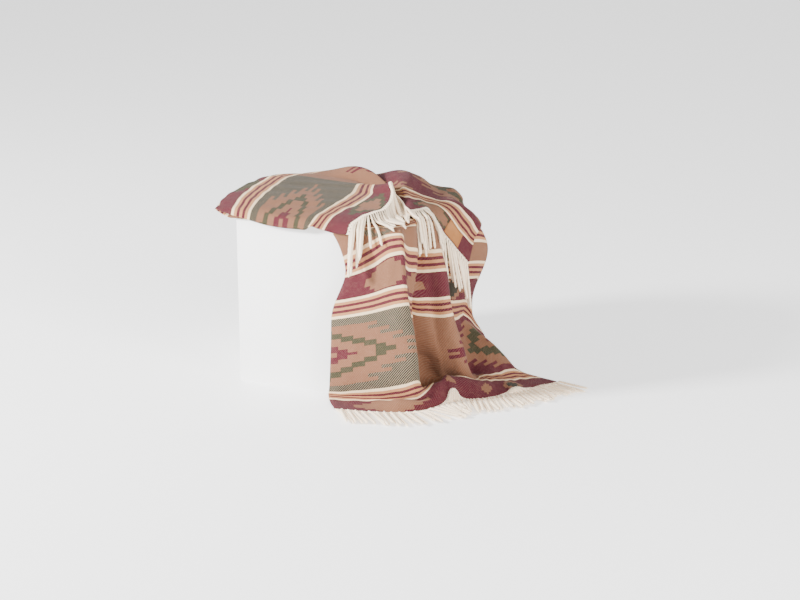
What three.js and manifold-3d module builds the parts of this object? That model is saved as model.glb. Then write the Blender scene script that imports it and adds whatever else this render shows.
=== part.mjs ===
// A fringed wool throw draped over a square display plinth.
// Millimetres, +Z up. The origin is the centre of the plinth's foot, on the floor.
// The plinth's front face looks along -Y and its right face along +X.
// On the cloth, u runs across from the front selvedge and v runs along from the hem on the floor.

import * as THREE from 'three';
import { mergeVertices } from 'three/addons/utils/BufferGeometryUtils.js';
import Module from 'manifold-3d';

const wasm = await Module();
wasm.setup();

// Driving sizes
const PLINTH_SIDE = 450;
const THROW_WIDTH = 800;
const THROW_LENGTH = 1640;
const CLOTH_THICKNESS = 3;
const CELLS_ACROSS = 32;
const CELLS_ALONG = 62;
const FLOOR_CLEARANCE = 2;
const PLINTH_CLEARANCE = 5.5;
const SIDE_CLEARANCE = 4;
const LAYER_CLEARANCE = 10;

// Fringe sizes
const STRAND_PITCH = 12.9;
const STRAND_WIDTH = 6;
const STRAND_LENGTH = 112;
const STRAND_STEPS = 5;
const STRAND_RADIUS = 3.3;
const STRAND_SPACE = 0.5;
const STRAND_REST_HEIGHT = 2;
const ROOT_DEPTH = 1.2;
const TOUCH_VOLUME = 1e-3;
const LENGTH_SHARES = [1, 0.85, 0.7, 0.55, 0.4, 0.25];
const LIFTS = [0, 0.12, 0.24, 0.36, 0.48];
const SWAY_LENGTH = 70;
const SCATTER = 0.012;
const STRIP_GAP = 0.9;
const STRIP_DEPTH = 5;

// Label patch sizes
const PATCH_THICKNESS = 1.6;
const PATCH_GAP = 0.4;
const PATCH_CELLS = { fromI: 28, toI: 30, fromJ: 60, toJ: 62 };

// Colours
const CLOTH_COLOUR = 0x8d6a5c;
const FRINGE_COLOUR = 0xe9dcc8;
const PLINTH_COLOUR = 0xf1efec;
const PATCH_COLOUR = 0xc08a4e;

// Places along the cloth that every fold line passes, with the v of those that all share
const SHARED_V = { hem: 0, left: 1238, middle: 1383, right: 1529, topHem: THROW_LENGTH };

// Fold lines of the hanging part, a row for each: where it lies across the cloth, then x, y and z
// at the floor hem, at the roll of slack behind it, where it leaves the floor, at the knee, waist
// and shoulder of the drop, and where it goes over the plinth's edge, with its v there.
const HANGING = [
  { u: 0, hem: [103, -347, 2.5], roll: [70, -304, 3], foot: [44, -258, 8], knee: [57, -268, 106],
    waist: [60, -270, 220], shoulder: [96, -254, 341], edge: [26, -232, 451], edgeV: 690 },
  { u: 32, hem: [134, -344, 2.5], roll: [102, -305, 3], foot: [76, -262, 8], knee: [88, -274, 106],
    waist: [92, -276, 220], shoulder: [122, -258, 341], edge: [52, -233, 452], edgeV: 676 },
  { u: 95, hem: [200, -333, 2.5], roll: [175, -302, 4], foot: [150, -264, 10], knee: [156, -278, 106],
    waist: [158, -278, 220], shoulder: [172, -258, 341], edge: [125, -232, 454], edgeV: 640 },
  { u: 190, hem: [290, -301, 2.5], roll: [276, -285, 34], foot: [255, -268, 20], knee: [262, -282, 106],
    waist: [250, -280, 220], shoulder: [232, -266, 341], edge: [208, -234, 456], edgeV: 600 },
  { u: 235, hem: [328, -262, 3], roll: [318, -262, 22], foot: [302, -260, 14], knee: [311, -270, 95],
    waist: [293, -268, 205], shoulder: [268, -262, 330], edge: [238, -226, 458], edgeV: 600 },
  { u: 290, hem: [352, -212, 8], roll: [332, -192, 60], foot: [266, -186, 14], knee: [262, -200, 100],
    waist: [250, -205, 200], shoulder: [241, -214, 340], edge: [231, -190, 456], edgeV: 640 },
  { u: 340, hem: [361, -181, 46], roll: [335, -150, 62], foot: [285, -110, 26], knee: [285, -140, 100],
    waist: [275, -150, 200], shoulder: [270, -162, 340], edge: [240, -145, 458], edgeV: 665 },
  { u: 380, hem: [384, -166, 8], roll: [352, -122, 50], foot: [316, -72, 26], knee: [300, -112, 100],
    waist: [282, -115, 200], shoulder: [243, -120, 340], edge: [231, -110, 456], edgeV: 675 },
  { u: 440, hem: [423, -139, 3], roll: [398, -88, 34], foot: [378, -52, 18], knee: [372, -92, 90],
    waist: [342, -105, 200], shoulder: [303, -92, 340], edge: [244, -70, 458], edgeV: 690 },
  { u: 485, hem: [446, -116, 3], roll: [412, -66, 28], foot: [372, -20, 15], knee: [335, -60, 95],
    waist: [305, -52, 200], shoulder: [286, -58, 340], edge: [236, -42, 457], edgeV: 705 },
  { u: 530, hem: [466, -92, 5], roll: [420, -44, 24], foot: [345, 8, 14], knee: [290, -15, 100],
    waist: [262, 10, 200], shoulder: [256, -20, 340], edge: [231, -15, 456], edgeV: 720 },
  { u: 615, hem: [494, -62, 20], roll: [438, -10, 20], foot: [362, 45, 46], knee: [285, 85, 105],
    waist: [276, 75, 200], shoulder: [305, 55, 340], edge: [242, 50, 457], edgeV: 770 },
  { u: 700, hem: [520, -8, 3], roll: [462, 32, 12], foot: [391, 90, 66], knee: [276, 132, 142],
    waist: [308, 132, 222], shoulder: [350, 136, 335], edge: [246, 105, 458], edgeV: 820 },
  { u: 800, hem: [570, 63, 2.5], roll: [482, 98, 3], foot: [392, 130, 8], knee: [312, 198, 72],
    waist: [258, 190, 180], shoulder: [266, 190, 340], edge: [238, 172, 456], edgeV: 880 },
];

// The same fold lines on the plinth's top, a row for each: the under layer and its turn, the fold
// at the left with its v, and three places and the hem on the upper layer, which comes back right.
const ON_TOP = [
  { u: 0, under: [-130, -231, 447], turn: [-226, -230, 444], bight: [-291, -214, 464], bightV: 1130,
    left: [-200, -243, 454], middle: [-88, -247, 437], right: [15, -247, 439], topHem: [100, -256, 441] },
  { u: 32, under: [-125, -214, 455], turn: [-234, -206, 455], bight: [-295, -190, 470], bightV: 1132,
    left: [-203, -224, 472], middle: [-86, -232, 465], right: [20, -231, 465], topHem: [104, -238, 464] },
  { u: 95, under: [-110, -150, 456], turn: [-245, -140, 457], bight: [-302, -134, 478], bightV: 1138,
    left: [-212, -160, 486], middle: [-80, -170, 480], right: [30, -168, 478], topHem: [123, -197, 480] },
  { u: 190, under: [-60, -60, 457], turn: [-245, -50, 457], bight: [-302, -44, 484], bightV: 1146,
    left: [-222, -62, 494], middle: [-93, -74, 489], right: [46, -76, 486], topHem: [154, -122, 487] },
  { u: 235, under: [-30, -20, 457], turn: [-243, 8, 457], bight: [-298, 4, 486], bightV: 1150,
    left: [-226, -6, 496], middle: [-100, -6, 489], right: [46, -16, 488], topHem: [153, -74, 502] },
  { u: 290, under: [0, 20, 457], turn: [-240, 58, 457], bight: [-292, 58, 486], bightV: 1155,
    left: [-230, 52, 498], middle: [-110, 48, 492], right: [28, 38, 493], topHem: [128, -29, 528] },
  { u: 340, under: [10, 60, 457], turn: [-232, 105, 457], bight: [-282, 106, 484], bightV: 1160,
    left: [-232, 102, 495], middle: [-112, 104, 490], right: [22, 78, 492], topHem: [112, 18, 512] },
  { u: 380, under: [20, 90, 457], turn: [-215, 148, 457], bight: [-255, 160, 472], bightV: 1165,
    left: [-205, 163, 487], middle: [-85, 146, 488], right: [34, 90, 480], topHem: [128, 2, 494] },
  { u: 440, under: [40, 120, 457], turn: [-150, 188, 457], bight: [-185, 202, 466], bightV: 1165,
    left: [-136, 205, 490], middle: [-20, 150, 538], right: [100, 62, 480], topHem: [165, -42, 487] },
  { u: 485, under: [50, 132, 457], turn: [-105, 210, 457], bight: [-142, 226, 460], bightV: 1165,
    left: [-82, 214, 482], middle: [40, 128, 482], right: [136, 18, 491], topHem: [192, -78, 482] },
  { u: 530, under: [70, 150, 457], turn: [-50, 233, 446], bight: [-86, 247, 440], bightV: 1165,
    left: [-22, 240, 474], middle: [92, 140, 528], right: [155, 4, 502], topHem: [214, -104, 478] },
  { u: 615, under: [100, 190, 457], turn: [10, 236, 415], bight: [-22, 253, 402], bightV: 1170,
    left: [40, 266, 442], middle: [150, 190, 488], right: [182, 61, 480], topHem: [231, -28, 471] },
  { u: 700, under: [140, 214, 457], turn: [75, 238, 376], bight: [48, 256, 362], bightV: 1170,
    left: [110, 272, 402], middle: [215, 208, 447], right: [275, 80, 430], topHem: [275, -8, 398] },
  { u: 800, under: [196, 234, 440], turn: [150, 240, 350], bight: [126, 258, 326], bightV: 1170,
    left: [182, 274, 352], middle: [266, 203, 402], right: [326, 92, 382], topHem: [333, 19, 320] },
];

const PLACES = ['hem', 'roll', 'foot', 'knee', 'waist', 'shoulder', 'edge', 'under', 'turn', 'bight',
  'left', 'middle', 'right', 'topHem'];

// Curve helpers

// The slope of a curve at a point between two spans, level where the curve turns back
function kneeSlope(slopeA, slopeB, spanA, spanB) {
  if (slopeA * slopeB <= 0) return 0;
  const weightA = 2 * spanB + spanA;
  const weightB = spanB + 2 * spanA;
  return (weightA + weightB) / (weightA / slopeA + weightB / slopeB);
}

// A smooth curve through points at given knots that doesn't swing past them
function splineAt(knots, points, t) {
  const last = knots.length - 1;
  let k = 0;
  while (k < last - 1 && t > knots[k + 1]) k += 1;
  const span = knots[k + 1] - knots[k];
  const s = (t - knots[k]) / span;
  const s2 = s * s;
  const s3 = s2 * s;
  return [0, 1, 2].map((n) => {
    const slope = (m) => (points[m + 1][n] - points[m][n]) / (knots[m + 1] - knots[m]);
    const slopeAt = (m) => {
      if (m === 0) return slope(0);
      if (m === last) return slope(last - 1);
      return kneeSlope(slope(m - 1), slope(m), knots[m] - knots[m - 1], knots[m + 1] - knots[m]);
    };
    return (2 * s3 - 3 * s2 + 1) * points[k][n] + (s3 - 2 * s2 + s) * span * slopeAt(k)
      + (3 * s2 - 2 * s3) * points[k + 1][n] + (s3 - s2) * span * slopeAt(k + 1);
  });
}

function distance(a, b) {
  return Math.hypot(a[0] - b[0], a[1] - b[1], a[2] - b[2]);
}

// The v of each place on one fold line: those without one share out the cloth by distance
function placesAlong(hanging, top) {
  const row = { ...hanging, ...top };
  const known = { ...SHARED_V, edge: hanging.edgeV, bight: top.bightV };
  const points = PLACES.map((place) => row[place]);
  const knots = PLACES.map((place) => known[place]);
  let from = 0;
  for (let k = 1; k < knots.length; k += 1) {
    if (knots[k] === undefined) continue;
    const lengths = [];
    for (let n = from; n < k; n += 1) lengths.push(distance(points[n], points[n + 1]));
    const total = lengths.reduce((sum, length) => sum + length, 0);
    let run = 0;
    for (let n = from + 1; n < k; n += 1) {
      run += lengths[n - from - 1];
      knots[n] = knots[from] + (knots[k] - knots[from]) * run / total;
    }
    from = k;
  }
  return { u: hanging.u, knots, points };
}

const FOLD_LINES = HANGING.map((hanging, n) => placesAlong(hanging, ON_TOP[n]));

function drapePoint(u, v) {
  const knots = FOLD_LINES.map((line) => line.u);
  const points = FOLD_LINES.map((line) => splineAt(line.knots, line.points, v));
  return splineAt(knots, points, u);
}

// The cloth's middle surface as a grid of points, first as the fold lines give it
function foldedGrid() {
  const grid = [];
  for (let j = 0; j <= CELLS_ALONG; j += 1) {
    for (let i = 0; i <= CELLS_ACROSS; i += 1) {
      grid.push(drapePoint(THROW_WIDTH * i / CELLS_ACROSS, THROW_LENGTH * j / CELLS_ALONG));
    }
  }
  return grid;
}

// Settling: the folded grid is drawn toward its true lengths, smoothed a little, and kept clear
// of the plinth, the floor and the layer below it

const COLUMNS = CELLS_ACROSS + 1;
const ROWS = CELLS_ALONG + 1;
const CELL_WIDTH = THROW_WIDTH / CELLS_ACROSS;
const CELL_LENGTH = THROW_LENGTH / CELLS_ALONG;
const SETTLING_STEPS = 40;
const CLEARING_STEPS = 6;
const HOLD = 0.1;
const LENGTH_PULL = 0.35;
const SHEAR_PULL = 0.06;
const BEND_PULL = 0.012;
const UPPER_FROM_V = 1230;
const UPPER_REACH = 14;
const LOWER_FROM_V = 380;
const LOWER_TO_V = 1110;
const NEAR = 45;
const SIDE_SHARES = [0.2, 0.35, 0.5, 0.65, 0.8];

function at(i, j) {
  return j * COLUMNS + i;
}

function pullTogether(grid, a, b, length, share) {
  const p = grid[a];
  const q = grid[b];
  const gap = distance(p, q) || 1e-6;
  if (gap < length) return;
  const move = share * 0.5 * (gap - length) / gap;
  for (let n = 0; n < 3; n += 1) {
    const step = (q[n] - p[n]) * move;
    p[n] += step;
    q[n] -= step;
  }
}

function straighten(grid, a, b, c) {
  for (let n = 0; n < 3; n += 1) {
    grid[b][n] += BEND_PULL * ((grid[a][n] + grid[c][n]) / 2 - grid[b][n]);
  }
}

// Moves a point out to at least the given distance from the plinth and the floor
function keepOffPlinth(p, clearance) {
  const half = PLINTH_SIDE / 2;
  const core = [
    Math.max(-half, Math.min(half, p[0])),
    Math.max(-half, Math.min(half, p[1])),
    Math.max(0, Math.min(PLINTH_SIDE, p[2])),
  ];
  const away = [p[0] - core[0], p[1] - core[1], p[2] - core[2]];
  const gap = Math.hypot(...away);
  if (gap > 1e-6) {
    if (gap < clearance) for (let n = 0; n < 3; n += 1) p[n] = core[n] + away[n] * clearance / gap;
    return;
  }
  const depths = [half - Math.abs(p[0]), half - Math.abs(p[1]), PLINTH_SIDE - p[2]];
  const least = depths.indexOf(Math.min(...depths));
  if (least === 2) p[2] = PLINTH_SIDE + clearance;
  else p[least] = Math.sign(p[least]) * (half + clearance);
}

// Moves both ends of a cell's side so that what is between them clears the plinth too
function keepSideOffPlinth(p, q, clearance) {
  for (const share of SIDE_SHARES) {
    const here = p.map((c, n) => c + (q[n] - c) * share);
    const clear = [...here];
    keepOffPlinth(clear, clearance);
    for (let n = 0; n < 3; n += 1) {
      p[n] += clear[n] - here[n];
      q[n] += clear[n] - here[n];
    }
  }
}

function cross(a, b) {
  return [a[1] * b[2] - a[2] * b[1], a[2] * b[0] - a[0] * b[2], a[0] * b[1] - a[1] * b[0]];
}

function unit(a) {
  const length = Math.hypot(...a) || 1;
  return a.map((n) => n / length);
}

function dot(a, b) {
  return a[0] * b[0] + a[1] * b[1] + a[2] * b[2];
}

function minus(a, b) {
  return [a[0] - b[0], a[1] - b[1], a[2] - b[2]];
}

// The outward normal of the cloth's face that is seen on the hanging part
function faceNormal(grid, i, j) {
  const acrossGrid = minus(grid[at(Math.min(i + 1, CELLS_ACROSS), j)], grid[at(Math.max(i - 1, 0), j)]);
  const alongGrid = minus(grid[at(i, Math.min(j + 1, CELLS_ALONG))], grid[at(i, Math.max(j - 1, 0))]);
  return unit(cross(acrossGrid, alongGrid));
}

// Keeps a point on the outer side of a layer, at least the given distance from it
function keepOffCloth(p, layer, clearance) {
  let nearest = null;
  let least = NEAR * NEAR;
  for (const node of layer) {
    const dx = p[0] - node.point[0];
    const dy = p[1] - node.point[1];
    const dz = p[2] - node.point[2];
    const square = dx * dx + dy * dy + dz * dz;
    if (square < least) {
      least = square;
      nearest = node;
    }
  }
  if (!nearest) return;
  const height = dot(minus(p, nearest.point), nearest.normal);
  const aside = Math.sqrt(Math.max(0, least - height * height));
  if (height < clearance && aside < nearest.reach) {
    for (let n = 0; n < 3; n += 1) p[n] += nearest.normal[n] * (clearance - height);
  }
}

function lowerNodes(grid) {
  const lower = [];
  for (let j = Math.round(LOWER_FROM_V / CELL_LENGTH); j <= LOWER_TO_V / CELL_LENGTH; j += 1) {
    for (let i = 1; i < CELLS_ACROSS; i += 1) {
      lower.push({ point: grid[at(i, j)], normal: faceNormal(grid, i, j), reach: CELL_WIDTH });
    }
  }
  return lower;
}

// The upper layer is seen from its other side, so its normals are turned
function upperNodes(grid) {
  const upper = [];
  for (let j = Math.round(UPPER_FROM_V / CELL_LENGTH); j < CELLS_ALONG; j += 1) {
    for (let i = 1; i < CELLS_ACROSS; i += 1) {
      const normal = faceNormal(grid, i, j).map((n) => -n);
      upper.push({ point: grid[at(i, j)], normal, reach: UPPER_REACH });
    }
  }
  return upper;
}

function keepClear(grid, lower) {
  for (let j = 0; j < ROWS; j += 1) {
    for (let i = 0; i < COLUMNS; i += 1) {
      const p = grid[at(i, j)];
      const upper = j * CELL_LENGTH > UPPER_FROM_V;
      if (upper) keepOffCloth(p, lower, LAYER_CLEARANCE);
      keepOffPlinth(p, upper ? PLINTH_CLEARANCE + LAYER_CLEARANCE : PLINTH_CLEARANCE);
      p[2] = Math.max(p[2], FLOOR_CLEARANCE);
      if (i > 0) keepSideOffPlinth(grid[at(i - 1, j)], p, SIDE_CLEARANCE);
      if (j > 0) keepSideOffPlinth(grid[at(i, j - 1)], p, SIDE_CLEARANCE);
      if (i > 0 && j > 0) keepSideOffPlinth(grid[at(i - 1, j - 1)], p, SIDE_CLEARANCE);
    }
  }
}

function settledGrid() {
  const guide = foldedGrid();
  const grid = guide.map((p) => [...p]);
  const slant = Math.hypot(CELL_WIDTH, CELL_LENGTH);
  for (let step = 0; step < SETTLING_STEPS; step += 1) {
    for (let n = 0; n < grid.length; n += 1) {
      for (let k = 0; k < 3; k += 1) grid[n][k] += HOLD * (guide[n][k] - grid[n][k]);
    }
    for (let j = 0; j < ROWS; j += 1) {
      for (let i = 0; i < COLUMNS; i += 1) {
        if (i < CELLS_ACROSS) pullTogether(grid, at(i, j), at(i + 1, j), CELL_WIDTH, LENGTH_PULL);
        if (j < CELLS_ALONG) pullTogether(grid, at(i, j), at(i, j + 1), CELL_LENGTH, LENGTH_PULL);
        if (i < CELLS_ACROSS && j < CELLS_ALONG) {
          pullTogether(grid, at(i, j), at(i + 1, j + 1), slant, SHEAR_PULL);
          pullTogether(grid, at(i + 1, j), at(i, j + 1), slant, SHEAR_PULL);
        }
        if (i > 0 && i < CELLS_ACROSS) straighten(grid, at(i - 1, j), at(i, j), at(i + 1, j));
        if (j > 0 && j < CELLS_ALONG) straighten(grid, at(i, j - 1), at(i, j), at(i, j + 1));
      }
    }
    keepClear(grid, lowerNodes(grid));
  }
  for (let step = 0; step < CLEARING_STEPS; step += 1) keepClear(grid, lowerNodes(grid));
  return grid;
}

// Solids from the settled grid

const GRID = settledGrid();
const NORMALS = GRID.map((p, n) => faceNormal(GRID, n % COLUMNS, Math.floor(n / COLUMNS)));

// The layers that a strand of the fringe can lie on, each node with the side that it lies on
const BELOW_STRANDS = [...lowerNodes(GRID), ...upperNodes(GRID)];

function offset(n, height) {
  return GRID[n].map((c, k) => c + NORMALS[n][k] * height);
}

// A closed sheet over a block of cells, from one height off the middle surface to another
function sheetGeometry(fromI, toI, fromJ, toJ, low, high) {
  const across = toI - fromI + 1;
  const along = toJ - fromJ + 1;
  const count = across * along;
  const points = [];
  for (const height of [high, low]) {
    for (let j = fromJ; j <= toJ; j += 1) {
      for (let i = fromI; i <= toI; i += 1) points.push(...offset(at(i, j), height));
    }
  }
  const faces = [];
  const node = (i, j) => j * across + i;
  for (let j = 0; j < along - 1; j += 1) {
    for (let i = 0; i < across - 1; i += 1) {
      const a = node(i, j);
      const b = node(i + 1, j);
      const c = node(i + 1, j + 1);
      const d = node(i, j + 1);
      faces.push(a, b, c, a, c, d);
      faces.push(a + count, c + count, b + count, a + count, d + count, c + count);
    }
  }
  const rim = [];
  for (let i = 0; i < across - 1; i += 1) rim.push(node(i, 0));
  for (let j = 0; j < along - 1; j += 1) rim.push(node(across - 1, j));
  for (let i = across - 1; i > 0; i -= 1) rim.push(node(i, along - 1));
  for (let j = along - 1; j > 0; j -= 1) rim.push(node(0, j));
  rim.forEach((a, n) => {
    const b = rim[(n + 1) % rim.length];
    faces.push(a, a + count, b + count, a, b + count, b);
  });
  const geometry = new THREE.BufferGeometry();
  geometry.setAttribute('position', new THREE.Float32BufferAttribute(points, 3));
  geometry.setIndex(faces);
  return geometry;
}

function toSolid(geometry) {
  const bare = geometry.clone();
  bare.deleteAttribute('normal');
  bare.deleteAttribute('uv');
  const merged = mergeVertices(bare, 1e-4);
  return new wasm.Manifold(new wasm.Mesh({
    numProp: 3,
    vertProperties: new Float32Array(merged.attributes.position.array),
    triVerts: new Uint32Array(merged.index.array),
  }));
}

function toGeometry(solid) {
  const mesh = solid.getMesh();
  const geometry = new THREE.BufferGeometry();
  const points = new Float32Array(mesh.numVert * 3);
  for (let n = 0; n < mesh.numVert; n += 1) {
    for (let k = 0; k < 3; k += 1) points[n * 3 + k] = mesh.vertProperties[n * mesh.numProp + k];
  }
  geometry.setAttribute('position', new THREE.BufferAttribute(points, 3));
  geometry.setIndex(new THREE.BufferAttribute(new Uint32Array(mesh.triVerts), 1));
  return geometry;
}

// A closed tube through rings of points that all have the same count
function ringsGeometry(rings) {
  const sides = rings[0].length;
  const last = (rings.length - 1) * sides;
  const faces = [];
  for (let r = 0; r < rings.length - 1; r += 1) {
    for (let k = 0; k < sides; k += 1) {
      const a = r * sides + k;
      const b = r * sides + (k + 1) % sides;
      faces.push(a, b, b + sides, a, b + sides, a + sides);
    }
  }
  for (let k = 1; k < sides - 1; k += 1) {
    faces.push(0, k + 1, k);
    faces.push(last, last + k, last + k + 1);
  }
  const geometry = new THREE.BufferGeometry();
  geometry.setAttribute('position', new THREE.Float32BufferAttribute(rings.flat(2), 3));
  geometry.setIndex(faces);
  return geometry;
}

// Fringe: a narrow strip along a hem with strands fused into it

// A place on a hem: its point, the way out square to the hem, and the cloth's normal there
function hemPlace(u, edgeRow, innerRow) {
  const x = Math.min(CELLS_ACROSS - 1e-6, Math.max(0, u / CELL_WIDTH));
  const i = Math.floor(x);
  const s = x - i;
  const mix = (a, b) => a.map((c, n) => c * (1 - s) + b[n] * s);
  const wayOut = (column) => {
    const before = GRID[at(Math.max(column - 1, 0), edgeRow)];
    const after = GRID[at(Math.min(column + 1, CELLS_ACROSS), edgeRow)];
    const along = unit(minus(after, before));
    const across = minus(GRID[at(column, edgeRow)], GRID[at(column, innerRow)]);
    const slip = dot(across, along);
    return unit(across.map((c, n) => c - along[n] * slip));
  };
  return {
    point: mix(GRID[at(i, edgeRow)], GRID[at(i + 1, edgeRow)]),
    out: unit(mix(wayOut(i), wayOut(i + 1))),
    normal: unit(mix(NORMALS[at(i, edgeRow)], NORMALS[at(i + 1, edgeRow)])),
  };
}

function stripRings(edgeRow, innerRow) {
  const rings = [];
  const half = CLOTH_THICKNESS / 2;
  for (let i = 0; i <= CELLS_ACROSS; i += 1) {
    const place = hemPlace(i * CELL_WIDTH, edgeRow, innerRow);
    const corner = (outward, up) => place.point.map(
      (c, n) => c + place.out[n] * outward + place.normal[n] * up,
    );
    rings.push([
      corner(STRIP_GAP, half),
      corner(STRIP_GAP + STRIP_DEPTH, half),
      corner(STRIP_GAP + STRIP_DEPTH, -half),
      corner(STRIP_GAP, -half),
    ]);
  }
  return edgeRow === 0 ? rings : rings.reverse();
}

// The path of one strand: it leaves the strip, falls by its weight and lies on what is below it
function strandPath(place, lay) {
  const step = lay.length / STRAND_STEPS;
  const root = STRIP_GAP + STRIP_DEPTH - ROOT_DEPTH;
  const path = [place.point.map((c, n) => c + place.out[n] * root)];
  let way = [...place.out];
  for (let k = 0; k < STRAND_STEPS; k += 1) {
    way = unit([way[0] + lay.drift[0], way[1] + lay.drift[1], way[2] - lay.fall]);
    const here = path[path.length - 1];
    const next = here.map((c, n) => c + way[n] * step);
    if (lay.onCloth) {
      keepOffCloth(next, BELOW_STRANDS, LAYER_CLEARANCE);
      keepOffPlinth(next, LAYER_CLEARANCE);
    }
    next[2] = Math.max(next[2], STRAND_REST_HEIGHT);
    path.push(next);
    way = unit(minus(next, here));
  }
  return path;
}

function strandGeometry(path, radius) {
  const rings = path.map((p, k) => {
    const before = path[Math.max(k - 1, 0)];
    const after = path[Math.min(k + 1, path.length - 1)];
    const way = unit(minus(after, before));
    const helper = Math.abs(way[2]) > 0.8 ? [1, 0, 0] : [0, 0, 1];
    const side = unit(cross(way, helper));
    const up = cross(way, side);
    return [270, 30, 150].map((degrees) => {
      const turn = degrees * Math.PI / 180;
      return p.map((c, n) => c + radius * (Math.cos(turn) * side[n] + Math.sin(turn) * up[n]));
    });
  });
  return ringsGeometry(rings);
}

// The longest strand from a place that clears the cloth and the strands before it, lifted and
// then shortened until it does
function clearStrand(place, lay, others) {
  for (const share of LENGTH_SHARES) {
    for (const lift of LIFTS) {
      const tried = { ...lay, length: STRAND_LENGTH * share, fall: lay.fall - lift };
      const path = strandPath(place, tried);
      const wide = toSolid(strandGeometry(path, STRAND_RADIUS + STRAND_SPACE));
      if (others.every((other) => other.intersect(wide).volume() < TOUCH_VOLUME)) {
        return toSolid(strandGeometry(path, STRAND_RADIUS));
      }
    }
  }
  return null;
}

// A repeatable scatter from -1 to 1
function scatter(n) {
  const wave = Math.sin(n * 127.1 + 31.7) * 43758.5453;
  return 2 * (wave - Math.floor(wave)) - 1;
}

// The fringe of one hem: how fast its strands turn down, how they drift as they fall, and what
// they lie on. Neighbours drift together, so that they stay apart.
function fringeGeometry(hem, blanket) {
  const count = Math.floor((THROW_WIDTH - 2 * STRAND_WIDTH) / STRAND_PITCH);
  const margin = (THROW_WIDTH - (count - 1) * STRAND_PITCH) / 2;
  const strands = [];
  for (let n = 0; n < count; n += 1) {
    const u = margin + n * STRAND_PITCH;
    const sway = hem.sway * Math.sin(u / SWAY_LENGTH) + SCATTER * scatter(n);
    const drift = [hem.drift[0] + sway, hem.drift[1] + sway];
    const lay = { fall: hem.fall, drift, onCloth: hem.onCloth };
    const strand = clearStrand(hemPlace(u, hem.edgeRow, hem.innerRow), lay, [blanket, ...strands]);
    if (strand) strands.push(strand);
  }
  const strip = toSolid(ringsGeometry(stripRings(hem.edgeRow, hem.innerRow)));
  return toGeometry(strands.reduce((fringe, strand) => fringe.add(strand), strip));
}

const FLOOR_HEM = { edgeRow: 0, innerRow: 1, fall: 0.25, drift: [0, 0], sway: 0.02, onCloth: false };
const TOP_HEM = {
  edgeRow: CELLS_ALONG,
  innerRow: CELLS_ALONG - 1,
  fall: 0.5,
  drift: [0.02, -0.16],
  sway: 0.02,
  onCloth: true,
};

// The scene graph

function named(name, geometry, colour, roughness) {
  const material = new THREE.MeshStandardMaterial({ color: colour, roughness, metalness: 0 });
  const mesh = new THREE.Mesh(geometry, material);
  mesh.name = name;
  return mesh;
}

function buildPlinth() {
  const cube = new THREE.BoxGeometry(PLINTH_SIDE, PLINTH_SIDE, PLINTH_SIDE);
  const mesh = named('plinth', cube, PLINTH_COLOUR, 0.6);
  mesh.position.z = PLINTH_SIDE / 2;
  return mesh;
}

function buildThrow() {
  const half = CLOTH_THICKNESS / 2;
  return named('blanket', sheetGeometry(0, CELLS_ACROSS, 0, CELLS_ALONG, -half, half), CLOTH_COLOUR, 0.95);
}

// The patch is on the face that shows on top, which is the sheet's far side
function buildPatch() {
  const { fromI, toI, fromJ, toJ } = PATCH_CELLS;
  const near = -CLOTH_THICKNESS / 2 - PATCH_GAP;
  const geometry = sheetGeometry(fromI, toI, fromJ, toJ, near - PATCH_THICKNESS, near);
  return named('label_patch', geometry, PATCH_COLOUR, 0.7);
}

const blanket = buildThrow();
const blanketSolid = toSolid(blanket.geometry);

const object = new THREE.Group();
object.add(buildPlinth());
object.add(blanket);
object.add(named('fringe_floor', fringeGeometry(FLOOR_HEM, blanketSolid), FRINGE_COLOUR, 0.95));
object.add(named('fringe_top', fringeGeometry(TOP_HEM, blanketSolid), FRINGE_COLOUR, 0.95));
object.add(buildPatch());

export default object;
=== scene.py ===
"""A fringed wool throw draped over a square display plinth, modelled and finished for a studio view.

Metres, +Z up. The origin is the centre of the plinth's foot. On the cloth, u runs across from the
front selvedge and v runs along from the hem on the floor, and the woven pattern is drawn from them.
"""

import math

import bmesh
import bpy
import numpy as np
from bpy.props import FloatProperty, FloatVectorProperty, IntProperty, PointerProperty
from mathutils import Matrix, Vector
from mathutils.bvhtree import BVHTree


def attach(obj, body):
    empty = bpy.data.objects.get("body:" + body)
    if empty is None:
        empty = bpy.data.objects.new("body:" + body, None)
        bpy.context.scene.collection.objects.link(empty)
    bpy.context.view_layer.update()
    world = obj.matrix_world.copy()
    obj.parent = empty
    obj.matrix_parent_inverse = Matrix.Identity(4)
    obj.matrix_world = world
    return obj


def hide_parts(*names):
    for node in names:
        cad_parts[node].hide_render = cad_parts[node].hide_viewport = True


bl_info = {
    "name": "Fringed Throw on a Plinth",
    "version": (1, 0, 0),
    "blender": (4, 5, 0),
    "location": "View3D > Sidebar > Throw",
    "description": "Builds a draped wool throw with its fringe, patch, plinth and studio stage",
    "category": "Object",
}

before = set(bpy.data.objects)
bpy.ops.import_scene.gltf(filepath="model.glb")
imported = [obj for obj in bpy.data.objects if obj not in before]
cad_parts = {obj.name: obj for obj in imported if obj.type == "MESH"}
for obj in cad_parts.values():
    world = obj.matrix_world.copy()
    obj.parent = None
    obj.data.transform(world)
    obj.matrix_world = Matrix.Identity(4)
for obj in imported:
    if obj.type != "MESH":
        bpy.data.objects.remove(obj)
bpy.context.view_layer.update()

BODY = "root"

# The cloth's cells in the frame, and how many times finer it is made here
CELLS_ACROSS = 32
CELLS_ALONG = 62
FINER = 4
THROW_WIDTH = 0.800
THROW_LENGTH = 1.640
CLOTH_THICKNESS = 0.003
PLINTH_SIDE = 0.450

# Where the patch lies on the cloth
PATCH_U = (0.694, 0.750)
PATCH_V = (1.584, 1.637)

CAMERA_PLACE = (1.86483, -4.36338, 1.59172)
CAMERA_SENSOR = 36
CAMERA_LENS = 81.98
SKY_STRENGTH = 1.0
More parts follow.
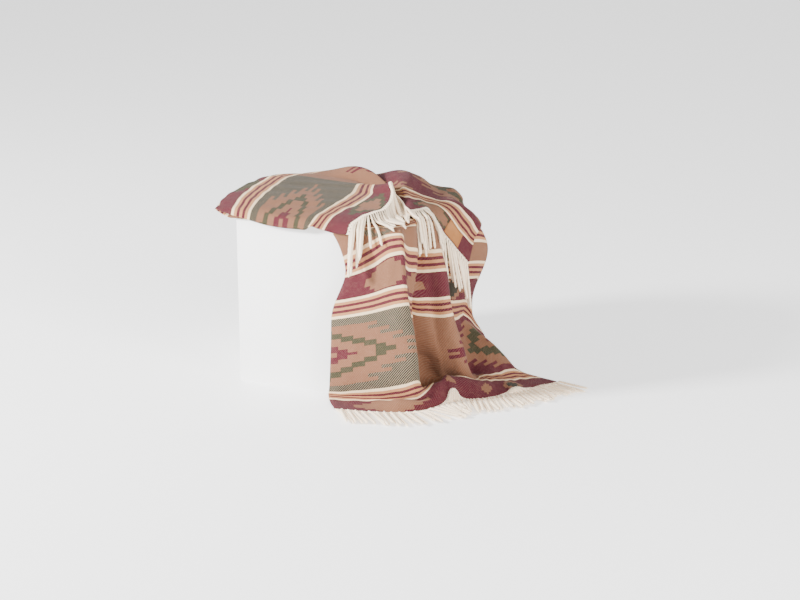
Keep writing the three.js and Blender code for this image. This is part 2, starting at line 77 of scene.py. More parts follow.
# Soft lights: place, side in metres, power in watts
LIGHTS = {"key": ((-3.7, -3.1, 2.3), 0.8, 920), "fill": ((4.0, -2.2, 1.8), 1.6, 250)}
LIGHT_AIM = (0.1, 0, 0.25)

# The front corner of the floor hem, near which the walk over the cloth's cells starts
FIRST_CORNER = Vector((0.103, -0.347, 0.003))

# Settings a user would change


def colour_setting(name, about, default):
    return FloatVectorProperty(
        name=name, description=about, subtype="COLOR", size=3, min=0, max=1, default=default,
    )


def distance_setting(name, about, default, low, high):
    return FloatProperty(
        name=name, description=about, default=default, min=low, max=high, subtype="DISTANCE", unit="LENGTH",
    )


class ThrowSettings(bpy.types.PropertyGroup):
    """Sizes and colours of the throw"""

    cream: colour_setting("Cream", "Undyed wool of the pale stripes", (0.82, 0.62, 0.39))
    tan: colour_setting("Tan", "Ground colour of the wide bands", (0.195, 0.086, 0.047))
    apricot: colour_setting("Apricot", "Warm stripes between the cream and the burgundy", (0.43, 0.195, 0.085))
    burgundy: colour_setting("Burgundy", "Dark red bands, stripes and steps", (0.072, 0.0042, 0.016))
    olive: colour_setting("Olive", "Stepped chevrons", (0.034, 0.036, 0.018))
    grey: colour_setting("Grey", "Dark yarn of the grey twill", (0.010, 0.014, 0.010))
    twill_pitch: distance_setting(
        "Twill pitch", "Distance between two twill lines across the cloth", 0.0066, 0.001, 0.02,
    )
    nap: distance_setting("Nap", "Height of the brushed wool's bump", 0.0009, 0, 0.01)


class FringeSettings(bpy.types.PropertyGroup):
    """Sizes and colour of the fringe"""

    strands: IntProperty(
        name="Strands", description="Number of strands at each end of the throw",
        default=88, min=2, max=150,
    )
    length: distance_setting("Length", "Length of a strand", 0.103, 0.01, 0.5)
    radius: distance_setting("Radius", "Radius of a twisted strand", 0.0037, 0.0005, 0.01)
    yarn: colour_setting("Yarn", "Undyed wool of the fringe", (0.97, 0.80, 0.60))


class PatchSettings(bpy.types.PropertyGroup):
    """Sizes and colours of the leather patch"""

    leather: colour_setting("Leather", "Tanned leather", (0.37, 0.140, 0.031))
    thread: colour_setting("Thread", "Sewing thread", (0.24, 0.09, 0.025))
    thickness: distance_setting("Thickness", "Thickness of the leather", 0.0015, 0.0005, 0.005)


class StageSettings(bpy.types.PropertyGroup):
    """The view and the light"""

    azimuth: FloatProperty(
        name="Azimuth", description="Turn of the camera round the object from its front",
        default=math.radians(21.512), subtype="ANGLE", unit="ROTATION",
    )
    elevation: FloatProperty(
        name="Elevation", description="Height of the camera over the horizon",
        default=math.radians(16.5), subtype="ANGLE", unit="ROTATION",
    )
    floor: colour_setting("Floor", "Colour of the floor and backdrop", (0.87, 0.87, 0.87))
    glow: FloatProperty(
        name="Glow", description="How much the floor is lit from behind",
        default=0.80, min=0, max=5,
    )


# Shader helpers


def new_material(name):
    """An empty material with its shader, ready to be filled in"""
    material = bpy.data.materials.new(name)
    material.use_nodes = True
    tree = material.node_tree
    tree.nodes.clear()
    output = tree.nodes.new("ShaderNodeOutputMaterial")
    shader = tree.nodes.new("ShaderNodeBsdfPrincipled")
    tree.links.new(shader.outputs["BSDF"], output.inputs["Surface"])
    return material, tree, shader


class Maths:
    """Writes arithmetic on a node tree's values as math nodes"""

    def __init__(self, tree):
        self.tree = tree

    def node(self, operation, *values):
        node = self.tree.nodes.new("ShaderNodeMath")
        node.operation = operation
        for socket, value in zip(node.inputs, values):
            if isinstance(value, (int, float)):
                socket.default_value = value
            else:
                self.tree.links.new(value, socket)
        return node.outputs[0]

    def add(self, a, b):
        return self.node("ADD", a, b)

    def sub(self, a, b):
        return self.node("SUBTRACT", a, b)

    def mul(self, a, b):
        return self.node("MULTIPLY", a, b)

    def less(self, a, b):
        return self.node("LESS_THAN", a, b)

    def more(self, a, b):
        return self.node("GREATER_THAN", a, b)

    def both(self, *masks):
        result = masks[0]
        for mask in masks[1:]:
            result = self.node("MINIMUM", result, mask)
        return result

    def either(self, *masks):
        result = masks[0]
        for mask in masks[1:]:
            result = self.node("MAXIMUM", result, mask)
        return result

    def between(self, value, low, high):
        return self.both(self.more(value, low), self.less(value, high))

    def away(self, value, centre):
        return self.node("ABSOLUTE", self.sub(value, centre))

    def steps(self, value, size):
        return self.node("FLOOR", self.node("DIVIDE", value, size))

    def paint(self, base, colour, mask):
        mix = self.tree.nodes.new("ShaderNodeMix")
        mix.data_type = "RGBA"
        self.set_colour(mix.inputs[6], base)
        self.set_colour(mix.inputs[7], colour)
        self.tree.links.new(mask, mix.inputs[0])
        return mix.outputs[2]

    def set_colour(self, socket, colour):
        if isinstance(colour, bpy.types.NodeSocket):
            self.tree.links.new(colour, socket)
        else:
            socket.default_value = (*colour, 1)


def new_group(name, inputs, outputs):
    """A shader node group with named sockets, and the helpers that fill it"""
    group = bpy.data.node_groups.new(name, "ShaderNodeTree")
    for label, kind in inputs:
        group.interface.new_socket(label, in_out="INPUT", socket_type=kind)
    for label, kind in outputs:
        group.interface.new_socket(label, in_out="OUTPUT", socket_type=kind)
    source = group.nodes.new("NodeGroupInput")
    target = group.nodes.new("NodeGroupOutput")
    return group, source.outputs, target.inputs, Maths(group)


def place_group(tree, group, **values):
    """Places a group on a tree with its inputs linked or set, and gives its outputs"""
    node = tree.nodes.new("ShaderNodeGroup")
    node.node_tree = group
    for label, value in values.items():
        socket = node.inputs[label.replace("_", " ")]
        if isinstance(value, bpy.types.NodeSocket):
            tree.links.new(value, socket)
        elif isinstance(value, (int, float)):
            socket.default_value = value
        else:
            socket.default_value = (*value, 1)
    return node.outputs


# The woven pattern. The bands run along v and mirror about the middle of the throw, so their
# places are given from the middle, in metres.
BAND_SCALE = THROW_LENGTH / 1.627
STRIPE_GROUP = 0.062 * BAND_SCALE
STRIPES = 7
DIAMOND_HALF = 0.1145 * BAND_SCALE
STRIPE_STARTS = [0.1145 * BAND_SCALE, 0.2415 * BAND_SCALE, 0.3805 * BAND_SCALE, 0.6715 * BAND_SCALE]
OUTER_DIAMOND = 0.557 * BAND_SCALE
PLAIN_BAND = 0.209 * BAND_SCALE
BLOCK_BAND = 0.342 * BAND_SCALE
HEM_BAND = 0.7735 * BAND_SCALE
CHEVRON_STEP_U = 0.0315
CHEVRON_LAP = 0.0035
CHEVRON_START = 0.059
CHEVRON_FALL = 0.011
CHEVRON_HALF = 0.0085
CHEVRON_BROADER = 0.0060
COMB_PITCH = 0.0215
COMB_SHIFT = 0.0045
COMB_BAR = 0.5
COMB_STRIP = 0.092
STRIP_SHORTER = 0.015
# The comb's bars and gaps: where the first one starts, and how much earlier each next one does
BAR_START, BAR_STEP = 0.208, 0.034
GAP_START, GAP_STEP = 0.236, 0.035
# Where the comb ends: grey on the left, red on the right
GREY_END, GREY_END_LOWER = 0.335, 0.045
RED_END, RED_BAR, RED_STEP = 0.345, 0.055, 0.030
# Boxes from the selvedge inwards and from the band's middle outwards: low, high, low, high
CHEVRON_TIP = ((0.126, 0.154, -1, 0.0190), (0.152, 0.180, -1, 0.0075))
HEART = ((-1, 0.024, 0.007, 0.027), (0.020, 0.051, -1, 0.0155), (0.020, 0.077, -1, 0.0042))
# Stepped blocks: the middle from the front selvedge, the half length, and the steps if not usual
PLAIN_BLOCKS = ((0.155, 0.055), (0.585, 0.050))
PLAIN_HEARTS = ((0.155, 0.022), (0.585, 0.020))
TAN_BLOCKS = ((0.155, 0.080), (0.325, 0.055), (0.605, 0.075))
TAN_BLOCK_HALF = 0.035
OLIVE_BLOCKS = ((0.205, 0.075), (0.595, 0.075))
BLOCK_HEARTS = ((0.605, 0.042),)
FLOOR_BLOCKS = (
    (0.155, 0.095, 0.024, 0.011), (0.345, 0.022, 0.012, 0.008),
    (0.475, 0.024, 0.010, 0.008), (0.645, 0.060, 0.016, 0.011),
)
FLOOR_HEARTS = ((0.645, 0.035, 0.016, 0.011),)
TOP_BLOCKS = ((0.165, 0.085, 0.019, 0.011), (0.645, 0.085, 0.019, 0.011))
TOP_HEARTS = ((0.165, 0.052, 0.019, 0.011), (0.645, 0.062, 0.019, 0.011))
# Half the widths of the plain and the block bands, and where the hem bands start
PLAIN_HALF = 0.0326 * BAND_SCALE
BLOCK_HALF = 0.0386 * BAND_SCALE
HEM_START = 0.7335 * BAND_SCALE


# The twill: its slope, how sharp and how wide its lines are, and how strongly they show. On the upper half of
# the cloth the lines show less, so the grey there is darker as painted shade.
TWILL_SLANT = 0.85
TWILL_SHARP, TWILL_GAP = 9.0, 2.7
LINE_FAINT, LINE_GREY, LINE_UPPER_SHADE = 0.10, 0.60, 0.24
LINE_COLOUR = (0.46, 0.37, 0.25)


def stripe_colours(maths, wool, group_place):
    """Seven narrow stripes: cream, apricot, burgundy, apricot, burgundy, apricot, cream"""
    ramp = maths.tree.nodes.new("ShaderNodeValToRGB")
    ramp.color_ramp.interpolation = "CONSTANT"
    order = [wool.cream, wool.apricot, wool.burgundy, wool.apricot, wool.burgundy, wool.apricot, wool.cream]
    stops = ramp.color_ramp.elements
    while len(stops) < STRIPES:
        stops.new(0)
    for n, colour in enumerate(order):
        stops[n].position = n / STRIPES
        stops[n].color = (*colour, 1)
    maths.tree.links.new(group_place, ramp.inputs["Fac"])
    return ramp.outputs["Color"]


def boxes(maths, edge, from_centre, table):
    """Where a point lies in one of some boxes"""
    return maths.either(*(
        maths.both(maths.between(edge, low, high), maths.between(from_centre, near, far))
        for low, high, near, far in table
    ))


def chevron_bars(maths, edge, from_centre, half, lap):
    """The chevron's four stepped bars, each a little longer than its step by the lap"""
    column = maths.steps(maths.sub(edge, lap), CHEVRON_STEP_U)
    middle = maths.sub(CHEVRON_START, maths.mul(column, CHEVRON_FALL))
    return maths.both(maths.less(maths.away(from_centre, middle), half), maths.less(column, 3.5))


def diamond_band(maths, wool, u, v, from_centre):
    """Half a stepped chevron at each selvedge, a stepped comb behind it, and plain ground between"""
    edge = maths.node("MINIMUM", u, maths.sub(THROW_WIDTH, u))
    right = maths.more(u, THROW_WIDTH / 2)
    low_half = maths.less(v, THROW_LENGTH / 2)
    half = maths.add(CHEVRON_HALF, maths.mul(right, CHEVRON_BROADER))
    chevron = maths.either(
        chevron_bars(maths, edge, from_centre, half, 0.0),
        chevron_bars(maths, edge, from_centre, half, CHEVRON_LAP),
        boxes(maths, edge, from_centre, CHEVRON_TIP),
    )
    heart = boxes(maths, edge, from_centre, HEART)
    place = maths.node("DIVIDE", maths.sub(from_centre, COMB_SHIFT), COMB_PITCH)
    tooth = maths.node("MAXIMUM", maths.node("FLOOR", place), -1)
    bar = maths.both(maths.less(maths.node("FRACT", place), COMB_BAR), maths.more(place, 0))
    bar_start = maths.sub(BAR_START, maths.mul(tooth, BAR_STEP))
    gap_start = maths.sub(GAP_START, maths.mul(tooth, GAP_STEP))
    start = maths.add(maths.mul(bar, maths.sub(bar_start, gap_start)), gap_start)
    red_end = maths.sub(maths.add(RED_END, maths.mul(bar, RED_BAR)), maths.mul(tooth, RED_STEP))
    grey_end = maths.sub(GREY_END, maths.mul(low_half, GREY_END_LOWER))
    end = maths.add(grey_end, maths.mul(right, maths.sub(red_end, grey_end)))
    comb = maths.both(maths.more(edge, start), maths.less(edge, end))
    strip = maths.both(maths.more(from_centre, COMB_STRIP), maths.less(edge, maths.sub(end, STRIP_SHORTER)))
    comb = maths.either(comb, strip)
    comb_red = maths.both(comb, right)
    comb_grey = maths.both(comb, maths.less(u, THROW_WIDTH / 2))
    colour = maths.paint(wool.tan, wool.burgundy, maths.either(heart, comb_red))
    colour = maths.paint(colour, wool.olive, chevron)
    return maths.paint(colour, wool.grey, comb_grey), comb_grey


def stepped_block(maths, u, from_centre, centre, half, step_u=0.019, step_v=0.0125):
    """A six-sided block with stepped ends"""
    shrink = maths.mul(maths.steps(from_centre, step_v), step_u)
    return maths.less(maths.away(u, centre), maths.sub(half, shrink))


def blocks(maths, u, from_centre, table):
    """Where a point lies in one of some stepped blocks"""
    return maths.either(*(stepped_block(maths, u, from_centre, *row) for row in table))


def pattern_group(wool):
    """The throw's colour, and how strongly the twill shows there, from u and v"""
    group, source, target, maths = new_group(
        "Woven Pattern",
        [("U", "NodeSocketFloat"), ("V", "NodeSocketFloat")],
        [("Color", "NodeSocketColor"), ("Grey", "NodeSocketFloat")],
    )
    u = source["U"]
    from_middle = maths.away(source["V"], THROW_LENGTH / 2)
    lower = maths.less(source["V"], THROW_LENGTH / 2)

    in_inner = maths.less(from_middle, DIAMOND_HALF)
    from_outer = maths.away(from_middle, OUTER_DIAMOND)
    from_centre = maths.node("MINIMUM", from_middle, from_outer)
    colour, grey = diamond_band(maths, wool, u, source["V"], from_centre)
    in_diamond = maths.either(in_inner, maths.less(from_outer, DIAMOND_HALF))
    grey = maths.both(grey, in_diamond)

    # The plain band: tan with grey blocks that have a tan heart
    from_plain = maths.away(from_middle, PLAIN_BAND)
    in_plain = maths.less(from_plain, PLAIN_HALF)
    plain_heart = blocks(maths, u, from_plain, PLAIN_HEARTS)
    plain_grey = maths.both(blocks(maths, u, from_plain, PLAIN_BLOCKS), maths.sub(1, plain_heart), in_plain)
    plain_colour = maths.paint(wool.tan, wool.grey, plain_grey)

    # The block bands: burgundy with tan blocks on the lower half and olive ones on the upper half
    from_block = maths.away(from_middle, BLOCK_BAND)
    in_block = maths.less(from_block, BLOCK_HALF)
    tan_blocks = blocks(maths, u, from_block, TAN_BLOCKS)
    tan_blocks = maths.both(tan_blocks, maths.less(from_block, TAN_BLOCK_HALF))
    block_heart = blocks(maths, u, from_block, BLOCK_HEARTS)
    low_blocks = maths.paint(wool.burgundy, wool.tan, tan_blocks)
    low_blocks = maths.paint(low_blocks, wool.grey, maths.both(block_heart, tan_blocks))
    high_blocks = maths.paint(wool.burgundy, wool.olive, blocks(maths, u, from_block, OLIVE_BLOCKS))
    block_colour = maths.paint(high_blocks, low_blocks, lower)

    # The hem bands: burgundy, with tan blocks at the floor and olive-edged ones on top
    from_hem = maths.away(from_middle, HEM_BAND)
    in_hem = maths.more(from_middle, HEM_START)
    floor_colour = maths.paint(wool.burgundy, wool.tan, blocks(maths, u, from_hem, FLOOR_BLOCKS))
    floor_colour = maths.paint(floor_colour, wool.grey, blocks(maths, u, from_hem, FLOOR_HEARTS))
    top_colour = maths.paint(wool.burgundy, wool.olive, blocks(maths, u, from_hem, TOP_BLOCKS))
    top_colour = maths.paint(top_colour, wool.tan, blocks(maths, u, from_hem, TOP_HEARTS))
    hem_colour = maths.paint(top_colour, floor_colour, lower)

    colour = maths.paint(colour, plain_colour, in_plain)
    colour = maths.paint(colour, block_colour, in_block)
    colour = maths.paint(colour, hem_colour, in_hem)
    grey = maths.either(grey, plain_grey)

    in_stripes = 0
    group_place = 0
    for start in STRIPE_STARTS:
        here = maths.between(from_middle, start, start + STRIPE_GROUP)
        place = maths.node("DIVIDE", maths.sub(from_middle, start), STRIPE_GROUP)
        group_place = maths.add(group_place, maths.mul(here, place))
        in_stripes = maths.add(in_stripes, here)
    colour = maths.paint(colour, stripe_colours(maths, wool, group_place), in_stripes)
    grey = maths.both(grey, maths.sub(1, in_stripes))
    maths.tree.links.new(colour, target["Color"])
    maths.tree.links.new(grey, target["Grey"])
    return group


def twill_group(wool):
    """Diagonal twill lines over a colour, strong where the cloth is grey and faint elsewhere, and weaker on
    the grey of the upper half, which paints shade there
    """
    group, source, target, maths = new_group(
        "Twill",
        [("U", "NodeSocketFloat"), ("V", "NodeSocketFloat"), ("Color", "NodeSocketColor"),
         ("Grey", "NodeSocketFloat")],
        [("Color", "NodeSocketColor"), ("Line", "NodeSocketFloat")],
    )
    slant = maths.sub(source["U"], maths.mul(source["V"], TWILL_SLANT))
    phase = maths.node("FRACT", maths.node("DIVIDE", slant, wool.twill_pitch))
    rise = maths.mul(maths.away(phase, 0.5), TWILL_SHARP)
    line = maths.node("MINIMUM", maths.node("MAXIMUM", maths.sub(rise, TWILL_GAP), 0), 1)
    # Painted shade: on the upper half the lines show less, so the grey there is darker
    upper = maths.more(source["V"], THROW_LENGTH / 2)
    on_grey = maths.sub(LINE_GREY, maths.mul(upper, LINE_UPPER_SHADE))
    strength = maths.add(LINE_FAINT, maths.mul(source["Grey"], on_grey))
    colour = maths.paint(source["Color"], LINE_COLOUR, maths.mul(line, strength))
    maths.tree.links.new(colour, target["Color"])
    maths.tree.links.new(line, target["Line"])
    return group


def wool_group():
    """Fibre flecks in a yarn's colour, and a height for its nap, from object coordinates"""
    group, source, target, maths = new_group(
        "Wool Nap",
        [("Vector", "NodeSocketVector"), ("Color", "NodeSocketColor"), ("Flecks", "NodeSocketFloat")],
        [("Color", "NodeSocketColor"), ("Height", "NodeSocketFloat")],
    )
    fine = noise(group, source["Vector"], 900, 3, 0.65)
    coarse = noise(group, source["Vector"], 60, 4, 0.6)
    pale = maths.mul(maths.node("MAXIMUM", maths.sub(fine, 0.52), 0), 3.0)
    dark = maths.mul(maths.node("MAXIMUM", maths.sub(0.48, fine), 0), 3.0)
    colour = maths.paint(source["Color"], (0.50, 0.32, 0.23), maths.mul(pale, source["Flecks"]))
    colour = maths.paint(colour, (0.10, 0.035, 0.03), maths.mul(dark, source["Flecks"]))
    cloud = maths.mul(maths.node("MAXIMUM", maths.sub(coarse, 0.5), 0), 0.25)
    colour = maths.paint(colour, (0.45, 0.25, 0.16), cloud)
    group.links.new(colour, target["Color"])
    group.links.new(maths.add(maths.mul(fine, 0.7), maths.mul(coarse, 0.6)), target["Height"])
    return group


def wool_nap(tree, colour, flecks):
    """Places the nap's group on a tree, and makes the group when it's first wanted"""
    group = bpy.data.node_groups.get("Wool Nap") or wool_group()
    return place_group(tree, group, Vector=object_place(tree), Color=colour, Flecks=flecks)


def noise(tree, place, scale, detail=2, rough=0.5):
    """A noise texture's value at a place"""
    node = tree.nodes.new("ShaderNodeTexNoise")
    for label, value in (("Scale", scale), ("Detail", detail), ("Roughness", rough)):
        node.inputs[label].default_value = value
    tree.links.new(place, node.inputs["Vector"])
    return node.outputs["Fac"]


def add_bump(tree, shader, height, distance, strength=1.0):
    bump = tree.nodes.new("ShaderNodeBump")
    bump.inputs["Strength"].default_value = strength
    bump.inputs["Distance"].default_value = distance
    tree.links.new(height, bump.inputs["Height"])
    tree.links.new(bump.outputs["Normal"], shader.inputs["Normal"])


def object_place(tree):
    return tree.nodes.new("ShaderNodeTexCoord").outputs["Object"]


def woven_material(wool):
    material, tree, shader = new_material("woven_wool")
    uv = tree.nodes.new("ShaderNodeUVMap")
    uv.uv_map = "cloth"
    split = tree.nodes.new("ShaderNodeSeparateXYZ")
    tree.links.new(uv.outputs["UV"], split.inputs[0])
    u, v = split.outputs["X"], split.outputs["Y"]
    # Wavering yarn edges: both places are nudged a little before the pattern is read
    maths = Maths(tree)
    nudge = maths.mul(maths.sub(noise(tree, uv.outputs["UV"], 260), 0.5), 0.0026)
    pattern = place_group(tree, pattern_group(wool), U=maths.add(u, nudge), V=maths.add(v, nudge))
    twill = place_group(
        tree, twill_group(wool), U=u, V=v, Color=pattern["Color"], Grey=pattern["Grey"],
    )
    nap = wool_nap(tree, twill["Color"], 0.40)
    tree.links.new(nap["Color"], shader.inputs["Base Color"])
    shader.inputs["Roughness"].default_value = 0.95
    shader.inputs["Specular IOR Level"].default_value = 0.08
    shader.inputs["Sheen Weight"].default_value = 0.05
    shader.inputs["Sheen Roughness"].default_value = 0.5
    height = maths.add(nap["Height"], maths.mul(twill["Line"], 0.8))
    add_bump(tree, shader, height, wool.nap, 0.8)
    return material


def yarn_material(fringe):
    material, tree, shader = new_material("fringe_yarn")
    nap = wool_nap(tree, fringe.yarn, 0.10)
    tree.links.new(nap["Color"], shader.inputs["Base Color"])
    shader.inputs["Roughness"].default_value = 0.9
    shader.inputs["Specular IOR Level"].default_value = 0.2
    shader.inputs["Sheen Weight"].default_value = 0.2
    add_bump(tree, shader, nap["Height"], 0.0005, 0.6)
    return material


def leather_material(patch):
    material, tree, shader = new_material("patch_leather")
    place = object_place(tree)
    cells = tree.nodes.new("ShaderNodeTexVoronoi")
    cells.feature = "DISTANCE_TO_EDGE"
    cells.inputs["Scale"].default_value = 1300
    tree.links.new(place, cells.inputs["Vector"])
    cloud = noise(tree, place, 70, 5)
    maths = Maths(tree)
    deep = tuple(0.6 * c for c in patch.leather)
    colour = maths.paint(patch.leather, deep, maths.mul(cloud, 0.5))
    tree.links.new(colour, shader.inputs["Base Color"])
    tree.links.new(maths.add(0.42, maths.mul(cloud, 0.25)), shader.inputs["Roughness"])
    add_bump(tree, shader, cells.outputs["Distance"], 0.0003, 0.5)
    return material


def thread_material(patch):
    material, tree, shader = new_material("patch_thread")
    wave = noise(tree, object_place(tree), 1800)
    maths = Maths(tree)
    pale = tuple(min(1, 1.5 * c) for c in patch.thread)
    tree.links.new(maths.paint(patch.thread, pale, wave), shader.inputs["Base Color"])
    shader.inputs["Roughness"].default_value = 0.7
    add_bump(tree, shader, wave, 0.0002, 0.5)
    return material


def paint_material():
    material, tree, shader = new_material("plinth_paint")
    place = object_place(tree)
    roller = noise(tree, place, 420, 3)
    cloud = noise(tree, place, 6)
    maths = Maths(tree)
    colour = maths.paint((0.95, 0.945, 0.93), (0.91, 0.905, 0.895), cloud)
    tree.links.new(colour, shader.inputs["Base Color"])
    tree.links.new(maths.add(0.5, maths.mul(roller, 0.15)), shader.inputs["Roughness"])
    add_bump(tree, shader, roller, 0.0004, 0.25)
    return material


def wash_material(name, colour):
    material, tree, shader = new_material(name)
    cloud = noise(tree, object_place(tree), 3)
    shade = tuple(0.985 * c for c in colour)
    tree.links.new(Maths(tree).paint(colour, shade, cloud), shader.inputs["Base Color"])
    shader.inputs["Roughness"].default_value = 0.9
    return material


# The cloth's surface, read from the frame


def open_side(faces, start):
    """The faces of one side of the sheet, reached from a face without crossing its rim"""
    side = {start}
    edge_of_side = [start]
    while edge_of_side:
        face = edge_of_side.pop()
        for edge in face.edges:
            for other in edge.link_faces:
                if other not in side and other in faces:
                    side.add(other)
                    edge_of_side.append(other)
    return side


def walk_side(side):
    """The vertices of one side as rows of columns, from the front corner of the floor hem. Each
    cell is cut from its first corner to its last, so a row's last vertex has one way on."""
    beside = {}
    for face in side:
        for vert in face.verts:
            beside.setdefault(vert, set()).update(v for v in face.verts if v is not vert)
    corners = [v for v in beside if len(beside[v]) == 3]
    rim = {v for v in beside if len(beside[v]) < 6}
    here = min(corners, key=lambda v: (v.co - FIRST_CORNER).length)
    row = [here]
    seen = {here}
    # Along the floor hem, then row by row
    first_steps = [v for v in beside[here] if v in rim]
    here = min(first_steps, key=lambda v: v.co.z + abs(v.co.y - FIRST_CORNER.y))
    while len(row) < CELLS_ACROSS + 1:
        row.append(here)
        seen.add(here)
        onward = [v for v in beside[here] if v in rim and v not in seen]
        onward = [v for v in onward if len(beside[v] & beside[here]) == 1]
        if not onward:
            break
        here = onward[0]
    rows = [row]
    for _ in range(CELLS_ALONG):
        following = [None] * len(row)
        for i in range(len(row) - 1, -1, -1):
            ahead = [v for v in beside[row[i]] if v not in seen]
            if len(ahead) != 1:
                raise RuntimeError("the cloth's cells could not be followed")
            following[i] = ahead[0]
            seen.add(ahead[0])
        row = following
        rows.append(row)
    return np.array([[tuple(v.co) for v in r] for r in rows])


def read_cloth():
    """The middle surface of the sheet, a row of points for each line of cells"""
    mesh = bmesh.new()
    mesh.from_mesh(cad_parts["blanket"].data)
    bmesh.ops.remove_doubles(mesh, verts=mesh.verts, dist=2e-6)
    slack = 0.00004
    rim = [
        face for face in mesh.faces
        if any(abs(e.calc_length() - CLOTH_THICKNESS) < slack and len(e.link_faces) == 2
               and e.calc_face_angle(0) > math.radians(60) for e in face.edges)
        or sum(abs(e.calc_length() - CLOTH_THICKNESS) < slack for e in face.edges) == 1
    ]
    faces = set(mesh.faces) - set(rim)
    first = max(faces, key=lambda f: f.calc_area())
    one = open_side(faces, first)
    other = open_side(faces - one, max(faces - one, key=lambda f: f.calc_area()))
    sides = [walk_side(one), walk_side(other)]
    mesh.free()
    return (sides[0] + sides[1]) / 2


# The deep hollow to the right of the front panel: for each v its middle, half width and depth
HOLLOW_V = (0.060, 0.130, 0.230, 0.330, 0.430, 0.550, 0.620, 0.660)
HOLLOW_U = (0.325, 0.328, 0.332, 0.334, 0.338, 0.366, 0.372, 0.375)
HOLLOW_HALF = (0.034, 0.038, 0.038, 0.034, 0.032, 0.030, 0.026, 0.022)
HOLLOW_DEPTH = (0.000, 0.034, 0.062, 0.052, 0.043, 0.026, 0.016, 0.000)
CREST_HALF = 0.042
CREST_HEIGHT = 0.011
CREASE_HEIGHT = 0.0011
PLINTH_CLEARANCE = 0.0045


def deepen(points, normals, u, v):
    """Presses the hollow in and adds shallow creases"""
    middle = np.interp(v, HOLLOW_V, HOLLOW_U)
    half = np.interp(v, HOLLOW_V, HOLLOW_HALF)
    depth = np.interp(v, HOLLOW_V, HOLLOW_DEPTH, left=0, right=0)
    pressed = depth * np.clip(1 - ((u - middle) / half) ** 2, 0, 1) ** 0.9
    crest = np.clip(1 - ((u - middle - half - CREST_HALF) / CREST_HALF) ** 2, 0, 1) ** 2
    pressed = pressed - CREST_HEIGHT * crest * depth / max(HOLLOW_DEPTH)
    waves = (
        np.sin(u * 71 + 4 * np.sin(v * 5.3)) * np.sin(v * 23 + 3 * np.sin(u * 9))
        + 0.6 * np.sin(u * 118 - v * 31 + 1.7)
    )
    points = points + normals * (CREASE_HEIGHT * waves - pressed)[..., None]
    side = PLINTH_SIDE / 2 + PLINTH_CLEARANCE
    inside = (np.abs(points[..., 1]) < side) & (points[..., 2] < PLINTH_SIDE - 0.02) & (v < 0.9)
    points[..., 0] = np.where(inside & (points[..., 0] > 0), np.maximum(points[..., 0], side), points[..., 0])
    points[..., 2] = np.maximum(points[..., 2], CLOTH_THICKNESS / 2 + 0.0006)
    return points


def unit(ways):
    """Vectors drawn to length one"""
    return ways / np.linalg.norm(ways, axis=-1, keepdims=True)


def smooth_step(value, low, high):
    t = np.clip((value - low) / (high - low), 0, 1)
    return t * t * (3 - 2 * t)


# How far the weave is drawn away from its place: near the patch, at the far foot, near the floor
PATCH_DRIFT = -0.026
FOOT_DRIFT = 0.030
FLOOR_DRIFT = 0.016


def pattern_place(u, v):
    """Where the weave is read for a place on the cloth, drawn aside so that the bands follow the photo"""
    right = smooth_step(u, 0.46, 0.62)
    near_patch = smooth_step(v, 1.26, 1.50) * smooth_step(-v, -1.64, -1.56)
    far_foot = smooth_step(u, 0.50, 0.64) * smooth_step(-u, -0.80, -0.74) * smooth_step(-v, -0.62, -0.45)
    near_floor = smooth_step(u, 0.42, 0.62) * smooth_step(-v, -0.34, -0.16)
    return u + FOOT_DRIFT * far_foot, v + PATCH_DRIFT * right * near_patch + FLOOR_DRIFT * near_floor


class Cloth:
    """The cloth's middle surface as a smooth function of u and v"""

    def __init__(self, middle):
        self.grid = np.pad(middle, ((1, 1), (1, 1), (0, 0)), mode="reflect", reflect_type="odd")

    @staticmethod
    def weights(t):
        """Cubic weights of the four nearest lines for a place between the middle two"""
        return np.stack([
            -0.5 * t + t**2 - 0.5 * t**3,
            1 - 2.5 * t**2 + 1.5 * t**3,
            0.5 * t + 2 * t**2 - 1.5 * t**3,
            -0.5 * t**2 + 0.5 * t**3,
        ])

    def lines(self, place, count):
        """The four lines round each place, with the sheet carried on past its edges"""
        cell = np.clip(np.floor(place).astype(int), 0, count - 1)
        return cell, self.weights(place - cell)

    def raw_points(self, u, v):
        """Points of the frame's surface for arrays of u and v of one shape"""
        i, across = self.lines(np.clip(u / THROW_WIDTH, 0, 1) * CELLS_ACROSS, CELLS_ACROSS)
        j, along = self.lines(np.clip(v / THROW_LENGTH, 0, 1) * CELLS_ALONG, CELLS_ALONG)
        total = 0
        for a in range(4):
            for b in range(4):
                total = total + (along[a] * across[b])[..., None] * self.grid[j + a, i + b]
        return total

    def points(self, u, v):
        """Points of the finished surface"""
        return deepen(self.raw_points(u, v), self.slopes(self.raw_points, u, v, 0.008), u, v)

    def normals(self, u, v):
        return self.slopes(self.points, u, v, 0.004)

    @staticmethod
    def slopes(surface, u, v, step):
        u_low, u_high = np.maximum(u - step, 0), np.minimum(u + step, THROW_WIDTH)
        v_low, v_high = np.maximum(v - step, 0), np.minimum(v + step, THROW_LENGTH)
        return unit(np.cross(surface(u_high, v) - surface(u_low, v), surface(u, v_high) - surface(u, v_low)))


def link(name, mesh, *materials):
    """Puts a bmesh in the scene as a smooth object at the origin"""
    data = bpy.data.meshes.new(name)
    mesh.to_mesh(data)
    mesh.free()
    piece = bpy.data.objects.new(name, data)
    bpy.context.scene.collection.objects.link(piece)
    for material in materials:
        data.materials.append(material)
    for polygon in data.polygons:
        polygon.use_smooth = True
    return piece


def apply_modifiers(piece):
    bpy.context.view_layer.objects.active = piece
    piece.select_set(True)
    for modifier in list(piece.modifiers):
        bpy.ops.object.modifier_apply(modifier=modifier.name)
    piece.select_set(False)


